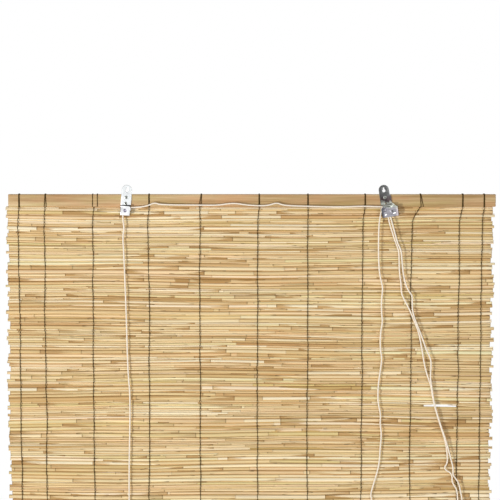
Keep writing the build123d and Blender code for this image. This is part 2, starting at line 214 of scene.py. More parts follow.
clear_selection()
bpy.ops.mesh.primitive_plane_add(size=floor_size, location=floor_middle)
floor = bpy.context.active_object
floor.name = "floor"
floor_paint = bpy.data.materials.new("pale_floor")
floor_paint.use_nodes = True
floor_shader = floor_paint.node_tree.nodes["Principled BSDF"]
floor_shader.inputs["Base Color"].default_value = (0.9, 0.9, 0.89, 1.0)
floor_shader.inputs["Roughness"].default_value = 0.9
floor.data.materials.append(floor_paint)
floor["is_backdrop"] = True

# %% [markdown]
# ## Shared shader effects
# Grain runs along a stem, a lath or a rolled sheet, so one node group makes long streaks from a
# place, a rate along and a rate across. A second group makes the ridges of a braid or a twist. The
# small functions before them each add one kind of node and hand back its result.

# %% Shared shader effects
def math_node(tree, operation, *values):
    """A sum on numbers or sockets."""
    return shader_node(tree, "ShaderNodeMath", dict(enumerate(values)), operation=operation).outputs[0]


def product(tree, first, second):
    """Two colours or vectors multiplied part by part."""
    return shader_node(tree, "ShaderNodeVectorMath", {0: first, 1: second}, operation="MULTIPLY").outputs[0]


def scaled(tree, colour, gain):
    """A colour made lighter or darker."""
    return shader_node(tree, "ShaderNodeVectorMath", {0: colour, "Scale": gain}, operation="SCALE").outputs[0]


def mapped(tree, value, start, end, first=0.0, last=1.0):
    """A value carried over from one range to another."""
    return shader_node(tree, "ShaderNodeMapRange", {
        "Value": value, "From Min": start, "From Max": end, "To Min": first, "To Max": last}).outputs[0]


def mixed(tree, factor, first, second):
    """A mix of two colours."""
    return shader_node(tree, "ShaderNodeMix", {
        "Factor": factor, "A": first, "B": second}, data_type="RGBA").outputs["Result"]


def split(tree, vector):
    """The X, Y and Z of a vector, as the outputs of a node."""
    return shader_node(tree, "ShaderNodeSeparateXYZ", {0: vector}).outputs


def effect(name, inputs, output):
    """An empty shader group with named inputs and one value output."""
    group = bpy.data.node_groups.new(name, "ShaderNodeTree")
    for label, kind in inputs:
        group.interface.new_socket(label, in_out="INPUT", socket_type=kind)
    group.interface.new_socket(output, in_out="OUTPUT", socket_type="NodeSocketFloat")
    return group, group.nodes.new("NodeGroupInput").outputs, group.nodes.new("NodeGroupOutput").inputs


streaks, given, result = effect("long_streaks", [
    ("Place", "NodeSocketVector"), ("Along", "NodeSocketFloat"), ("Across", "NodeSocketFloat")], "Streak")
rates = shader_node(streaks, "ShaderNodeCombineXYZ", {
    "X": given["Along"], "Y": given["Across"], "Z": given["Across"]})
streak_noise = shader_node(streaks, "ShaderNodeTexNoise", {
    "Vector": product(streaks, given["Place"], rates.outputs[0]), "Scale": 1.0, "Detail": 3.0,
    "Roughness": 0.6})
streaks.links.new(streak_noise.outputs["Fac"], result["Streak"])

ridges, given, result = effect("strand_ridges", [
    ("Place", "NodeSocketVector"), ("Pitch", "NodeSocketFloat"), ("Turns", "NodeSocketFloat")], "Ridge")
parts = split(ridges, given["Place"])
angle = math_node(ridges, "ARCTAN2", parts["Z"], parts["Y"])
wound = math_node(ridges, "MULTIPLY", angle, given["Turns"])
run = math_node(ridges, "DIVIDE", parts["X"], given["Pitch"])
wave = math_node(ridges, "SINE", math_node(ridges, "ADD", run, wound))
ridges.links.new(math_node(ridges, "MULTIPLY_ADD", wave, 0.5, 0.5), result["Ridge"])
print("effects", streaks.name, ridges.name)

# %% [markdown]
# ## Cord material
# The cords are a cream cotton braid. Two sets of ridges that wind opposite ways make the braid.

# %% Cord material
def new_material(name, roughness, metallic=0.0):
    """A material with its node tree and its Principled shader."""
    material = bpy.data.materials.new(name)
    material.use_nodes = True
    tree = material.node_tree
    shader = tree.nodes["Principled BSDF"]
    shader.inputs["Roughness"].default_value = roughness
    shader.inputs["Metallic"].default_value = metallic
    return material, tree, shader


def effect_node(tree, group, **inputs):
    """A shared effect used in a material."""
    return shader_node(tree, "ShaderNodeGroup", inputs, node_tree=group).outputs[0]


def colour_ramp(tree, fac, stops):
    """A colour ramp with (position, colour) stops."""
    ramp = shader_node(tree, "ShaderNodeValToRGB", {"Fac": fac})
    elements = ramp.color_ramp.elements
    while len(elements) < len(stops):
        elements.new(0.5)
    for element, (position, colour) in zip(elements, stops):
        element.position = position
        element.color = (*colour, 1.0)
    return ramp.outputs["Color"]


def stored(tree, name, output="Vector"):
    """A value that the mesh keeps at each of its points."""
    return shader_node(tree, "ShaderNodeAttribute", attribute_name=name).outputs[output]


def object_place(tree):
    """The place on the piece, in metres."""
    return shader_node(tree, "ShaderNodeTexCoord").outputs["Object"]


def relief(tree, shader, height, strength, depth):
    """Fine bumps that are shaded and not modelled."""
    bumps = shader_node(tree, "ShaderNodeBump", {"Height": height, "Strength": strength, "Distance": depth})
    tree.links.new(bumps.outputs["Normal"], shader.inputs["Normal"])


braid_pitch = 0.0009
braid_turns = 4.0
cord_cotton, tree, shader = new_material("cord_cotton", 0.85)
strand = stored(tree, "strand_place")
left_wind = effect_node(tree, ridges, Place=strand, Pitch=braid_pitch, Turns=braid_turns)
right_wind = effect_node(tree, ridges, Place=strand, Pitch=braid_pitch, Turns=-braid_turns)
braid = math_node(tree, "MAXIMUM", left_wind, right_wind)
cream = colour_ramp(tree, braid, [(0.25, (0.88, 0.73, 0.57)), (0.75, (1.0, 0.92, 0.80))])
tree.links.new(cream, shader.inputs["Base Color"])
relief(tree, shader, braid, 0.5, 0.0003)
print("made", cord_cotton.name)

# %% [markdown]
# ## Tubes along a line
# A cord or a strand of twine is round and follows a line. A curve with a bevel would give the shape.
# Here a tube is built ring by ring, because it can then keep the length along itself, in metres, at
# each of its points, and the braid and the twist are shaded by that. A NURBS spline smooths the line.

# %% Tubes along a line
def tube(lines, name, radius, sides):
    """One mesh of round tubes with closed ends; each follows its line of points.

    strand_place keeps, for the materials, the length along the tube and the place round it.
    """
    all_points, all_faces, all_places = [], [], []
    turn = np.arange(sides) * 2 * math.pi / sides
    for line in lines:
        line = np.asarray(line, float)
        ahead = np.gradient(line, axis=0)
        ahead /= np.linalg.norm(ahead, axis=1, keepdims=True)
        along = np.concatenate([[0.0], np.cumsum(np.linalg.norm(np.diff(line, axis=0), axis=1))])
        across = np.array((1.0, 0.0, 0.0)) if abs(ahead[0][0]) < 0.7 else np.array((0.0, 1.0, 0.0))
        start = sum(len(points) for points in all_points)
        for index, (point, way) in enumerate(zip(line, ahead)):
            across = across - way * across.dot(way)
            across /= np.linalg.norm(across)
            upright = np.cross(way, across)
            ring = np.outer(np.cos(turn), across) + np.outer(np.sin(turn), upright)
            all_points.append(point + radius * ring)
            all_places.append(np.column_stack([np.full(sides, along[index]),
                                               radius * np.cos(turn), radius * np.sin(turn)]))
        for index in range(len(line) - 1):
            low = start + index * sides
            for step in range(sides):
                beside = (step + 1) % sides
                all_faces.append((low + step, low + beside, low + sides + beside, low + sides + step))
        last = start + (len(line) - 1) * sides
        all_faces.append(tuple(range(start + sides - 1, start - 1, -1)))
        all_faces.append(tuple(range(last, last + sides)))
    mesh = bpy.data.meshes.new(name)
    mesh.from_pydata(np.concatenate(all_points).tolist(), [], all_faces)
    place = mesh.attributes.new("strand_place", "FLOAT_VECTOR", "POINT")
    place.data.foreach_set("vector", np.concatenate(all_places).ravel())
    piece = new_object(name, mesh)
    finish_smooth(piece, 60)
    return piece


def spline_points(route, steps=10):
    """Points read from a NURBS spline that has the route's points as its control points."""
    curve = bpy.data.curves.new("route", "CURVE")
    curve.dimensions = "3D"
    curve.resolution_u = steps
    spline = curve.splines.new("NURBS")
    spline.points.add(len(route) - 1)
    for point, place in zip(spline.points, route):
        point.co = (*place, 1.0)
    spline.order_u = 3
    spline.use_endpoint_u = True
    holder = bpy.data.objects.new("route", curve)
    line = bpy.data.meshes.new_from_object(holder)
    points = [tuple(vertex.co) for vertex in line.vertices]
    bpy.data.objects.remove(holder)
    return points


print("tubes and splines ready")

# %% [markdown]
# ## Cord routes
# Each cord is led by listed points. The lift cords run down the front, under the bottom lath and
# up the back. A simulated cord would hang too smoothly: real ones keep the kinks of their last knot
# or fold, so many of the points stand where a cord bends.

# %% Cord routes
left_lift_route = [
    (-0.2712, -0.00595, -0.0420), (-0.2712, -0.00595, -0.0600), (-0.2684, -0.0052, -0.0760),
    (-0.2718, -0.0048, -0.0940), (-0.2696, -0.0044, -0.1280), (-0.2652, -0.0040, -0.2670),
    (-0.2632, -0.0038, -0.3750), (-0.2578, -0.0038, -0.4280), (-0.2636, -0.0040, -0.6290),
    (-0.2585, -0.0040, -1.2923), (-0.2584, -0.0040, -1.3103), (-0.2584, 0.0115, -1.3103),
    (-0.2584, 0.0115, -1.2923), (-0.2584, 0.0115, -0.0265),
]
right_lift_route = [
    (0.2575, -0.00885, -0.0409), (0.2558, -0.0087, -0.0490), (0.2529, -0.0080, -0.0667),
    (0.2523, -0.0069, -0.1001), (0.2526, -0.0060, -0.1334), (0.2544, -0.0054, -0.1669),
    (0.2593, -0.0050, -0.1884), (0.2621, -0.0048, -0.2016), (0.2593, -0.0047, -0.2228),
    (0.2595, -0.0046, -0.2520), (0.2623, -0.0045, -0.2677), (0.2576, -0.0044, -0.2946),
    (0.2576, -0.0044, -0.3262), (0.2618, -0.0042, -0.3470), (0.2561, -0.0041, -0.3834),
    (0.2536, -0.0040, -0.4082), (0.2535, -0.0040, -0.4286), (0.2552, -0.0040, -0.4445),
    (0.2596, -0.0039, -0.4626), (0.2582, -0.0039, -0.4808), (0.2617, -0.0039, -0.5035),
    (0.2588, -0.0039, -0.5353), (0.2574, -0.0039, -0.5627), (0.2530, -0.0039, -0.5832),
    (0.2431, -0.0039, -0.6175), (0.2394, -0.0039, -0.6312), (0.2433, -0.0039, -0.6460),
    (0.2459, -0.0040, -1.2923), (0.2460, -0.0040, -1.3103), (0.2460, 0.0115, -1.3103),
    (0.2460, 0.0115, -1.2923), (0.2460, 0.0115, -0.0265),
]
cross_route = [
    (-0.2712, -0.00595, -0.0420), (-0.2720, -0.00595, -0.0346), (-0.2400, -0.0059, -0.0338),
    (-0.2200, -0.0058, -0.0306), (-0.2060, -0.0058, -0.0240), (-0.1950, -0.0058, -0.0286),
    (-0.1120, -0.0056, -0.0292), (-0.0780, -0.0056, -0.0297), (-0.0450, -0.0056, -0.0247),
    (-0.0150, -0.0055, -0.0296), (0.0240, -0.0055, -0.0310), (0.0435, -0.0055, -0.0240),
    (0.0580, -0.0055, -0.0300), (0.1000, -0.0055, -0.0314), (0.1740, -0.0055, -0.0333),
    (0.2190, -0.0055, -0.0312), (0.2525, -0.00555, -0.0326), (0.2712, -0.00555, -0.0318),
    (0.2705, -0.00555, -0.0409),
]
rear_pull_route = [
    (0.2705, -0.00555, -0.0409), (0.2722, -0.00555, -0.0580), (0.2797, -0.0044, -0.0824),
    (0.2866, -0.0039, -0.1023), (0.2930, -0.0036, -0.1195), (0.2946, -0.0035, -0.1265),
    (0.2951, -0.0034, -0.1381), (0.2959, -0.0033, -0.1671), (0.2994, -0.0033, -0.1894),
    (0.3003, -0.0033, -0.2080), (0.3023, -0.0033, -0.2152), (0.3075, -0.0033, -0.2253),
    (0.3190, -0.0033, -0.2476), (0.3275, -0.0033, -0.2680), (0.3366, -0.0033, -0.2899),
    (0.3437, -0.0033, -0.3259), (0.3489, -0.0033, -0.3587), (0.3559, -0.0033, -0.3835),
    (0.3623, -0.0033, -0.3993), (0.3652, -0.0033, -0.4174), (0.3699, -0.0033, -0.4423),
    (0.3838, -0.0033, -0.4877), (0.3912, -0.0033, -0.5093), (0.3959, -0.0033, -0.5287),
    (0.3986, -0.0033, -0.5492), (0.3988, -0.0033, -0.5640), (0.3924, -0.0033, -0.5738),
    (0.3965, -0.0033, -0.5802), (0.4055, -0.0033, -0.5847), (0.4090, -0.0033, -0.5925),
    (0.4087, -0.0033, -0.6028), (0.4126, -0.0033, -0.6108), (0.4190, -0.0034, -0.6199),
    (0.4210, -0.0035, -0.6424), (0.4234, -0.0037, -0.6805), (0.42635, -0.0050, -0.7560),
    (0.42635, -0.0050, -0.8680),
]
front_pull_route = [
    (0.2575, -0.00885, -0.0409), (0.2570, -0.00885, -0.0318), (0.2710, -0.00885, -0.0318),
    (0.2775, -0.00885, -0.0580), (0.2837, -0.0086, -0.0800), (0.2910, -0.0080, -0.1066),
    (0.2968, -0.0077, -0.1175), (0.2988, -0.0075, -0.1250), (0.2997, -0.0074, -0.1333),
    (0.3018, -0.0072, -0.1557), (0.3046, -0.0070, -0.1779), (0.3114, -0.0068, -0.2004),
    (0.3200, -0.0068, -0.2118), (0.3222, -0.0068, -0.2158), (0.3224, -0.0067, -0.2290),
    (0.3230, -0.0067, -0.2472), (0.3303, -0.0067, -0.2702), (0.3394, -0.0067, -0.2903),
    (0.3521, -0.0067, -0.3264), (0.3603, -0.0067, -0.3435), (0.3629, -0.0067, -0.3559),
    (0.3607, -0.0067, -0.3829), (0.3638, -0.0067, -0.4032), (0.3698, -0.0067, -0.4417),
    (0.3842, -0.0067, -0.4870), (0.3920, -0.0067, -0.5086), (0.3980, -0.0067, -0.5279),
    (0.4069, -0.0067, -0.5609), (0.4102, -0.0067, -0.5734), (0.4098, -0.0067, -0.5882),
    (0.4136, -0.0067, -0.5935), (0.4195, -0.0067, -0.6012), (0.4232, -0.0066, -0.6099),
    (0.4265, -0.0066, -0.6259), (0.4300, -0.0065, -0.6414), (0.4312, -0.0064, -0.6825),
    (0.42965, -0.0050, -0.7560), (0.42965, -0.0050, -0.8680),
]
all_routes = (left_lift_route, right_lift_route, cross_route, rear_pull_route, front_pull_route)
print("points placed by hand:", [len(route) for route in all_routes])

# %% [markdown]
# ## Cords and knots
# A tube follows each smooth line. Loose ends are held by overhand knots. Such a knot is a trefoil,
# and one formula draws it, so no strand has to be bent by hand.

# %% Cords and knots
cord_radius = 0.0015


def knot(name, foot, width, height, strand, tails):
    """A tight overhand knot: one strand goes twice round and crosses itself, with tails below."""
    turn = np.linspace(0, 2 * math.pi, 73)
    reach = (width / 2 - strand) / 3
    rise = height / 2 - strand
    wound = np.column_stack([
        foot[0] + reach * (2 + np.cos(3 * turn)) * np.cos(2 * turn),
        foot[1] + reach * (2 + np.cos(3 * turn)) * np.sin(2 * turn),
        foot[2] + height / 2 + rise * np.sin(3 * turn)])
    lines = [wound[:-1]]
    for side, drop in tails:
        lines.append([(foot[0] + side, foot[1], foot[2] + height / 2),
                      (foot[0] + side * 1.6, foot[1] - 0.0004, foot[2] - drop / 2),
                      (foot[0] + side * 2.1, foot[1] - 0.0002, foot[2] - drop)])
    piece = tube(lines, name, strand, 10)
    piece.data.materials.append(cord_cotton)
    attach(piece, "head")
    return piece


pull_knot = knot("tied_pull_knot", (0.428, -0.005, -0.878), width=0.0092, height=0.010,
                 strand=0.0013, tails=[(-0.0013, 0.007), (0.0013, 0.005)])
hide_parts("pull_knot")
end_knot = {"width": 0.0064, "height": 0.006, "strand": 0.00095, "tails": []}
left_knot = knot("left_end_knot", left_lift_route[-1], **end_knot)
right_knot = knot("right_end_knot", right_lift_route[-1], **end_knot)
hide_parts("anchor_knots")
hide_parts("anchor_knots")
cord_plan = [
    ("left_lift_cord", left_lift_route, 2.562, "knot", [left_knot]),
    ("right_lift_cord", right_lift_route, 2.565, "knot", [right_knot]),
    ("cross_cord", cross_route, 0.553, "object", []),
    ("rear_pull_cord", rear_pull_route, 0.848, "knot", [pull_knot]),
    ("front_pull_cord", front_pull_route, 0.874, "knot", []),
]
for name, route, length, far_end, on_it in cord_plan:
    line = spline_points(route)
    piece = tube([line], "braided_" + name, cord_radius, 10)
    piece.data.materials.append(cord_cotton)
    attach(piece, "head")
    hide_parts(name)
    if "lift" in name:
        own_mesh(piece)
    print(name, len(line), "points")

# %% [markdown]
# ## Reed material
# A dry reed stem is straw yellow, with a brown ring at each joint. Scraps of leaf sheath start at a
# joint and run along for some way. The ends of a stem are darkened, partly the brown of a cut end and
# partly painted shade where an end lies in the shadow of its neighbour. Every stem carries its own
# tone, and its length is counted off in spans from joint to joint, each with its own scrap or none.

# %% Reed material
span_length = 0.085
scrap_from = 0.66
ring_from = 0.68
end_shade_brown = (0.20, 0.105, 0.035, 1.0)

reed_skin, tree, shader = new_material("reed_skin", 0.5)
shader.inputs["Specular IOR Level"].default_value = 0.3
stem_place = stored(tree, "stem_place")
spans = split(tree, stored(tree, "stem_span"))
straw = colour_ramp(tree, stored(tree, "stem_tone", "Fac"), [
    (0.0, (0.50, 0.29, 0.105)), (0.2, (0.64, 0.42, 0.175)), (0.42, (0.78, 0.565, 0.275)),
    (0.62, (0.87, 0.67, 0.365)), (0.82, (0.94, 0.76, 0.46)), (1.0, (0.99, 0.86, 0.60))])
hue = colour_ramp(tree, spans["Z"], [
    (0.0, (0.95, 1.0, 0.86)), (0.3, (1.0, 1.0, 1.0)), (0.6, (1.0, 1.0, 1.0)),
    (1.0, (1.0, 0.92, 0.91))])
fine = effect_node(tree, streaks, Place=stem_place, Along=5.0, Across=900.0)
gain = mapped(tree, fine, 0.34, 0.66, 0.74, 1.16)
toned = scaled(tree, product(tree, straw, hue), gain)

run = split(tree, stem_place)
counted = math_node(tree, "DIVIDE", run["X"], span_length)
in_span = math_node(tree, "FRACT", counted)
span_number = math_node(tree, "FLOOR", counted)
chance = shader_node(tree, "ShaderNodeTexWhiteNoise", {"W": span_number}, noise_dimensions="1D")
chances = shader_node(tree, "ShaderNodeSeparateColor", {0: chance.outputs["Color"]}).outputs
slanted = math_node(tree, "MULTIPLY_ADD", run["Z"], 60.0, in_span)
ragged = math_node(tree, "MULTIPLY_ADD", fine, 1.6, slanted)
scrap_end = mapped(tree, chances["Red"], scrap_from, 1.0, 0.9, 1.4)
scrap_kept = math_node(tree, "GREATER_THAN", chances["Red"], scrap_from)
scrap_shape = math_node(tree, "LESS_THAN", ragged, scrap_end)
scrap_mask = math_node(tree, "MULTIPLY", scrap_shape, scrap_kept)
scrap_colour = colour_ramp(tree, chances["Green"], [
    (0.0, (0.48, 0.280, 0.100)), (0.4, (0.65, 0.420, 0.185)), (0.7, (0.76, 0.54, 0.275)),
    (1.0, (0.64, 0.48, 0.24))])
sheathed = mixed(tree, scrap_mask, toned, scaled(tree, scrap_colour, gain))

ring_mask = mapped(tree, in_span, 0.012, 0.035, 0.6, 0.0)
ring_kept = math_node(tree, "GREATER_THAN", chances["Red"], ring_from)
ring_seen = math_node(tree, "MULTIPLY", ring_mask, ring_kept)
# The butt and tip are darkened: partly the brown of a cut end, partly painted shade where an end lies in its
# neighbour's shadow.
butt_shade_mask = mapped(tree, spans["X"], 0.0004, 0.002, 0.35, 0.0)
tip_shade_mask = mapped(tree, spans["Y"], 0.003, 0.012, 0.85, 0.0)
end_shade_mask = math_node(tree, "MAXIMUM", butt_shade_mask, tip_shade_mask)
ring_and_end_shade_mask = math_node(tree, "MAXIMUM", end_shade_mask, ring_seen)
tree.links.new(mixed(tree, ring_and_end_shade_mask, sheathed, end_shade_brown), shader.inputs["Base Color"])
print("made", reed_skin.name)

# %% [markdown]
# ## Turned pieces
# Stems, screws, rivets, pins and wheels are all round about one line. An outline could be spun for
# them. Here a round face is extruded and resized from ring to ring instead, which leaves no seam to
# close. A bored piece has its two end faces bridged.

# %% Turned pieces
def turned(name, rings, sides=24, bored=False):
    """A turned piece about Z: a round face is extruded and resized from ring to ring."""
    clear_selection()
    radius, height = rings[0]
    bpy.ops.mesh.primitive_circle_add(vertices=sides, radius=radius, fill_type="NGON",
                                      location=(0.0, 0.0, height))
    piece = bpy.context.active_object
    piece.name = name
    bpy.ops.object.transform_apply(location=True, rotation=True, scale=True)
    bpy.ops.object.mode_set(mode="EDIT")
    bpy.ops.mesh.select_all(action="SELECT")
    for next_radius, next_height in rings[1:]:
        rise = (0.0, 0.0, next_height - height)
        bpy.ops.mesh.extrude_region_move(TRANSFORM_OT_translate={"value": rise})
        swell = next_radius / radius
        bpy.ops.transform.resize(value=(swell, swell, 1.0))
        radius, height = next_radius, next_height
    if bored:
        bpy.ops.mesh.select_all(action="DESELECT")
        bpy.ops.mesh.select_mode(type="FACE")
        bpy.ops.mesh.select_face_by_sides(number=sides, type="EQUAL", extend=False)
        bpy.ops.mesh.bridge_edge_loops()
        bpy.ops.mesh.select_mode(type="VERT")
    bpy.ops.object.mode_set(mode="OBJECT")
    finish_smooth(piece)
    return piece


print("turning tool ready")

# %% [markdown]
# ## One stem
# A stem is a seven-sided tube with hollow ends: a small round face, widened to the rim, drawn out in
# five spans and closed again. It is modelled once, one long and one thick, and copied below.

# %% One stem
stem_sides = 7
stem_spans = 5
bore_share = 0.55

stem_rings = [(bore_share, 0.0)]
stem_rings += [(1.0, number / stem_spans) for number in range(stem_spans + 1)]
stem_rings.append((bore_share, 1.0))
master = turned("master_stem", stem_rings, sides=stem_sides)
master_points = np.array([vertex.co for vertex in master.data.vertices])
master_faces = [tuple(face.vertices) for face in master.data.polygons]
master_span = np.rint(master_points[:, 2] * stem_spans).astype(int)
bpy.data.objects.remove(master)
print(len(master_faces), "faces in a stem")

# %% [markdown]
# ## Rows of the mat
# The rows differ in height, their ends are ragged, and here and there a slit lets the light through.
# All but the one wide slit comes from the same random draws as the solid mat, in the same order, so
# the loose stems keep to the solid's outline.

# %% Rows of the mat
row_pitch = 0.0075
row_spread = 0.22
crest_spread = 0.2
mat_clearance = 0.0002
mat_offset = 0.0038
end_reach = 0.004
end_spread = 0.009
slit_count = 11
slit_height = 0.0014
shortest_slit = 0.030
longest_slit = 0.150
slit_reach = 0.440
wide_drop = 0.4125
wide_offset = 0.3944
wide_length = 0.068
wide_height = 0.0036

rail_low, rail_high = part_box("head_rail")
foot_low, foot_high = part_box("bottom_rail")
rail_foot = rail_low.z
mat_foot = foot_high.z
mat_drop = rail_foot - mat_foot
rail_middle = (rail_low.x + rail_high.x) / 2
mat_middle = (rail_low.y + rail_high.y) / 2
half_rail = (rail_high.x - rail_low.x) / 2

draw = random.Random(11)
row_count = round(mat_drop / row_pitch)
weights = [1 + draw.uniform(-row_spread, row_spread) for _ in range(row_count)]
row_scale = (mat_drop - mat_clearance) / sum(weights)
levels = [rail_foot]
for weight in weights:
    levels.append(levels[-1] - weight * row_scale)
# The solid mat draws the height of each ridge next, so as many draws are passed over here.
for _ in range(row_count):
    draw.uniform(0, crest_spread)
mat_centre = rail_middle - mat_offset
left_ends = [mat_centre - half_rail - end_reach + draw.uniform(0, end_spread) for _ in range(row_count)]
right_ends = [mat_centre + half_rail + end_reach - draw.uniform(0, end_spread) for _ in range(row_count)]
gaps = {}
for number in range(slit_count):
    row = 2 + number * (row_count - 3) // slit_count
    length = draw.uniform(shortest_slit, longest_slit)
    middle = mat_centre + draw.uniform(length / 2 - slit_reach, slit_reach - length / 2)
    gaps[row] = (middle, length, slit_height)
wide_row = min(range(row_count), key=lambda row: abs(levels[row] - rail_foot + wide_drop))
gaps[wide_row] = (mat_centre + wide_offset, wide_length, wide_height)

print(row_count, "rows,", len(gaps), "slits")

# %% [markdown]
# ## Laying the stems
# In each row the stems lie in pairs: thick ends meet thick ends, and the thin tips lie side by side.
# Thin stems behind the lines between the rows keep the light out; their dark tone is painted shade.
# Thousands of objects would be slow, so each stem is only a set of moved points of the master, kept in
# a list.

# %% Laying the stems
stem_bow = 0.0004
flat_share = 0.92
deepest_stem = 0.0037
tip_sink_share = 0.55
tip_lean_share = 0.85
tone_spread = 0.22
straw_shade = 0.7
slit_shade = 0.6
# The stems behind the row lines get a dark tone: painted shade.
shadow_shade = 0.08
row_slack = 0.01
last_pair = 0.15
split_stem = 0.40
whole_stem = 0.42
slit_stem = 0.115
slit_tip = 0.018
slit_point = 0.0003
backing_radius = 0.0019
backing_depth = 0.0020
backing_lap = 0.01
sway_fade = 0.03
front_bundle, rear_bundle = [], []


def sway(x, z):
    """How far the rows wander up and down across the mat."""
    fade = np.clip((rail_foot - z) / sway_fade, 0, 1) * np.clip((z - mat_foot) / sway_fade, 0, 1)
    return fade * (0.0020 * np.sin(4.3 * x + 11 * z) + 0.0012 * np.sin(13 * x - 23 * z + 1.0))


def stem(bundle, butt, tip, lap, radius, tip_radius, height, lean, depth, shade):
    """One stem from its thick end to its tip, which leans up or down past its neighbour's."""
    length = abs(tip - butt)
    thick = 1 - lap / length
    shares = np.array([0.0, 0.5 * thick, thick, (2 * thick + 1) / 3, (thick + 2) / 3, 1.0])[master_span]
    taper = np.clip((shares - thick) / (1 - thick), 0, 1)
    girth = radius + (tip_radius - radius) * taper
    bow = draw.uniform(-stem_bow, stem_bow) * np.sin(math.pi * shares)
    x = butt + (tip - butt) * shares
    half_depth = np.minimum(flat_share * girth, deepest_stem)
    y = depth - tip_sink_share * (radius - girth) + half_depth * master_points[:, 0]
    z = height + lean * tip_lean_share * (radius - girth) + bow + girth * master_points[:, 1]
    z = z + sway(x, z)
    run = shares * length
    seed = draw.uniform(0, 90)
    places = [run + seed, girth * master_points[:, 0] + seed / 9, girth * master_points[:, 1]]
    spans = [run, length - run, np.full(len(run), draw.random())]
    tone = min(max(draw.gauss(shade, tone_spread), 0.0), 1.0)
    bundle.append((np.column_stack([x, y, z]), np.column_stack(places), np.column_stack(spans),
                   np.full(len(run), tone), tip < butt))


def lane(left, right, top, foot, longest):
    """Fills a strip of one row with pairs of stems."""
    x = left
    height = (top + foot) / 2
    while x < right - row_slack:
        first = longest * draw.uniform(0.4, 1.0)
        second = longest * draw.uniform(0.4, 1.0)
        lap = min(first, second) * draw.uniform(0.3, 0.6)
        if x + first + second - lap > right - last_pair:
            share = (right - x) / (first + second - lap)
            first, second, lap = first * share, second * share, lap * share
        end = x + first + second - lap
        lean = draw.choice((-1, 1))
        radius = (top - foot) / 2 * draw.uniform(0.78, 0.98)
        tip_radius = radius * draw.uniform(0.3, 0.5)
        depth = mat_middle + draw.uniform(-0.0006, 0.0006)
        stem(front_bundle, x, x + first, lap, radius, tip_radius, height, lean, depth, straw_shade)
        stem(front_bundle, end, end - second, lap, radius, tip_radius, height, -lean, depth, straw_shade)
        x = end - draw.uniform(0.0005, 0.003)


def backing(left, right, level):
    """Stems that lie behind the line between two rows and close it."""
    x = left
    while x < right - row_slack:
        length = min(draw.uniform(0.3, 0.6), right - x)
        depth = mat_middle + backing_depth + draw.uniform(-0.0002, 0.0002)
        stem(rear_bundle, x, x + length, length / 2, backing_radius, backing_radius * 0.9, level, 0,
             depth, shadow_shade)
        x += length - backing_lap


def slit_sides(left, right, top, middle, length, opening):
    """Thin stems that come to a point at both ends of a slit, and the rest of their strip."""
    shoulders = []
    for side, edge in ((-1, left), (1, right)):
        tip = middle + side * (length / 2 - slit_tip)
        reach = min(slit_stem, abs(edge - tip))
        butt = tip + side * reach
        stem(front_bundle, butt, tip, reach / 2, opening / 2, slit_point, top - opening / 2, 1,
             mat_middle, slit_shade)
        shoulders.append(butt)
    lane(left, shoulders[0], top, top - opening, split_stem)
    lane(shoulders[1], right, top, top - opening, split_stem)


print("sway at the middle", round(float(sway(rail_middle, (rail_foot + mat_foot) / 2)), 4), "m")

# %% [markdown]
# ## Reed mat
# Every row is filled with one strip of stems, or with two thinner ones, which makes the mat uneven as
# a real one is. A row with a slit has pointed stems at both ends of the slit. The lists then become
# two pieces, the stems in front and the dark ones behind.

# %% Reed mat
rail_gap = 0.0009
split_share = 0.45

for row in range(row_count):
    top, foot = levels[row], levels[row + 1]
    if row == 0:
        top -= rail_gap
    left, right = left_ends[row], right_ends[row]
    inner_left = max(left, left_ends[row - 1])
    inner_right = min(right, right_ends[row - 1])
    lines = [top]
    if row in gaps:
        middle, length, opening = gaps[row]
        slit_sides(left, right, top, middle, length, opening)
        lane(left, right, top - opening, foot, whole_stem)
        lines.append(top - opening)
    elif draw.random() < split_share:
        parting = top - (top - foot) * draw.uniform(0.3, 0.7)
        lane(left, right, top, parting, split_stem)
        lane(left, right, parting, foot, split_stem)
        backing(left, right, parting)
    else:
        lane(left, right, top, foot, whole_stem)
    for level in lines:
        if row == wide_row:
            backing(inner_left, middle - length / 2, level)
            backing(middle + length / 2, inner_right, level)
        else:
            backing(inner_left, inner_right, level)


def bundle_piece(name, bundle):
    """One piece of many stems, each a copy of the master's faces on its own points."""
    points, places, spans, tones, flips = zip(*bundle)
    faces = []
    for number, flip in enumerate(flips):
        start = number * len(master_points)
        for face in master_faces:
            corners = [start + corner for corner in face]
            faces.append(corners[::-1] if flip else corners)
    mesh = bpy.data.meshes.new(name)
    mesh.from_pydata(np.concatenate(points).tolist(), [], faces)
    for label, values in (("stem_place", places), ("stem_span", spans)):
        store = mesh.attributes.new(label, "FLOAT_VECTOR", "POINT")
        store.data.foreach_set("vector", np.concatenate(values).ravel())
    store = mesh.attributes.new("stem_tone", "FLOAT", "POINT")
    store.data.foreach_set("value", np.concatenate(tones))
    piece = new_object(name, mesh)
    finish_smooth(piece, 60)
    piece.data.materials.append(reed_skin)
    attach(piece, "head")
    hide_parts("reed_mat")
    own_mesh(piece)
    print(name, len(bundle), "stems,", len(faces), "faces")


bundle_piece("reed_stems", front_bundle)
bundle_piece("backing_stems", rear_bundle)

# %% [markdown]
# ## Twine material
# The twine is dark brown and twisted. The ridges of the braid serve here too, with fewer turns and
# only one way round.

# %% Twine material
twine_fibre, tree, shader = new_material("twine_fibre", 0.9)
shader.inputs["Specular IOR Level"].default_value = 0.1
twist = effect_node(tree, ridges, Place=stored(tree, "strand_place"), Pitch=0.0005, Turns=2.0)
brown = colour_ramp(tree, twist, [(0.2, (0.036, 0.021, 0.005)), (0.9, (0.12, 0.074, 0.018))])
tree.links.new(brown, shader.inputs["Base Color"])
relief(tree, shader, twist, 0.5, 0.0002)
print("made", twine_fibre.name)
